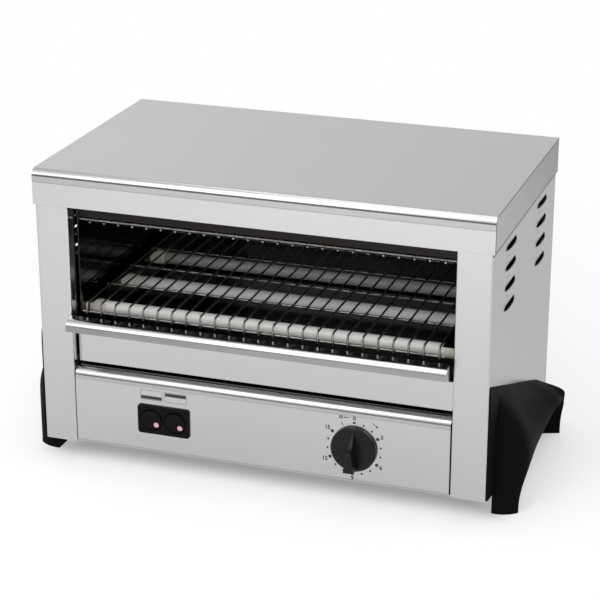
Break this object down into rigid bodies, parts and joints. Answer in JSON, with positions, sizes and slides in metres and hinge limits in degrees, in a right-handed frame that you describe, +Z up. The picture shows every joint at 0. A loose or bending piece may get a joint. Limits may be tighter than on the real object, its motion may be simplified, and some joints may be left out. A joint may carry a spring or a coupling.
{
  "type": "toaster grill",
  "caption": "Counter-top quartz toaster grill: folded steel body open at the front, wire rack between rows of heating tubes, crumb tray with pull lip, timer knob, rocker switch, moulded feet.",
  "frame": {"origin": "on the counter, under the middle of the whole part, pull lip, knob and cable gland included", "axes": "+X to the right seen from the front, +Y towards the back, +Z up"},
  "size_m": [0.5118, 0.297, 0.305],
  "materials": {
    "body_steel": "satin, fine brushing",
    "liner_steel": "polished",
    "tray_steel": "satin",
    "dark_steel": "heat-darkened, brushed",
    "bright_wire": "bright",
    "screw_steel": "plain",
    "foot_plastic": "satin black",
    "knob_plastic": "satin black",
    "switch_plastic": "satin black",
    "lens_pink": "translucent pink",
    "quartz": "milky quartz",
    "ceramic": "unglazed, cream",
    "coil_wire": "oxidised",
    "terminal_brass": "plain",
    "inner_plastic": "white",
    "gland_plastic": "black",
    "lead_cover": "heat-resistant cover"
  },
  "bodies": {
    "cabinet": {"back_panel": "body_steel", "back_screws": "screw_steel", "base_plate": "body_steel", "base_screws": "screw_steel", "bus_strips": "terminal_brass", "cable_gland": "gland_plastic", "chamber_back": "liner_steel", "chamber_wall_left": "liner_steel", "chamber_wall_right": "liner_steel", "control_panel": "body_steel", "foot_left": "foot_plastic", "foot_right": "foot_plastic", "foot_screws": "screw_steel", "front_baffle": "dark_steel", "heat_shield": "liner_steel", "lead_block_to_left_strip": "lead_cover", "lead_block_to_switch": "lead_cover", "lead_lower_to_upper_strip_left": "lead_cover", "lead_lower_to_upper_strip_right": "lead_cover", "lead_switch_to_timer": "lead_cover", "lead_timer_to_right_strip": "lead_cover", "lid": "body_steel", "lid_screws": "screw_steel", "lower_caps_left": "ceramic", "lower_caps_right": "ceramic", "lower_heating_coils": "coil_wire", "lower_tube_front": "quartz", "lower_tube_middle": "quartz", "lower_tube_rear": "quartz", "rack_rail_left": "liner_steel", "rack_rail_right": "liner_steel", "side_panel_left": "body_steel", "side_panel_right": "body_steel", "switch_housing": "switch_plastic", "terminal_block": "inner_plastic", "terminal_nuts": "terminal_brass", "timer_body": "inner_plastic", "timer_screws": "screw_steel", "top_reflector": "liner_steel", "tray_runner_left": "liner_steel", "tray_runner_right": "liner_steel", "upper_caps_left": "ceramic", "upper_caps_right": "ceramic", "upper_guard": "bright_wire", "upper_heating_coils": "coil_wire", "upper_tube_front": "quartz", "upper_tube_middle": "quartz", "upper_tube_rear": "quartz"},
    "tray": {"crumb_tray": "tray_steel"},
    "rack": {"cooking_rack": "bright_wire"},
    "knob": {"timer_knob": "knob_plastic", "timer_shaft": "screw_steel"},
    "left_rocker": {"rocker_left": "switch_plastic", "lamp_lens_left": "lens_pink"},
    "right_rocker": {"rocker_right": "switch_plastic", "lamp_lens_right": "lens_pink"}
  },
  "joints": [
    {"name": "tray_slide", "type": "slide", "parent": "cabinet", "child": "tray", "axis": [0, -1, 0], "range_m": [0, 0.2]},
    {"name": "rack_slide", "type": "slide", "parent": "cabinet", "child": "rack", "axis": [0, -1, 0], "range_m": [0, 0.18]},
    {"name": "timer_turn", "type": "hinge", "parent": "cabinet", "child": "knob", "pos_m": [0.097, -0.1292, 0.061], "axis": [0, 1, 0], "range_deg": [-27, 305]},
    {"name": "left_rocker_tip", "type": "hinge", "parent": "cabinet", "child": "left_rocker", "pos_m": [-0.1094, -0.1291, 0.061], "axis": [-1, 0, 0], "range_deg": [0, 16]},
    {"name": "right_rocker_tip", "type": "hinge", "parent": "cabinet", "child": "right_rocker", "pos_m": [-0.0846, -0.1291, 0.061], "axis": [-1, 0, 0], "range_deg": [0, 16]}
  ]
}
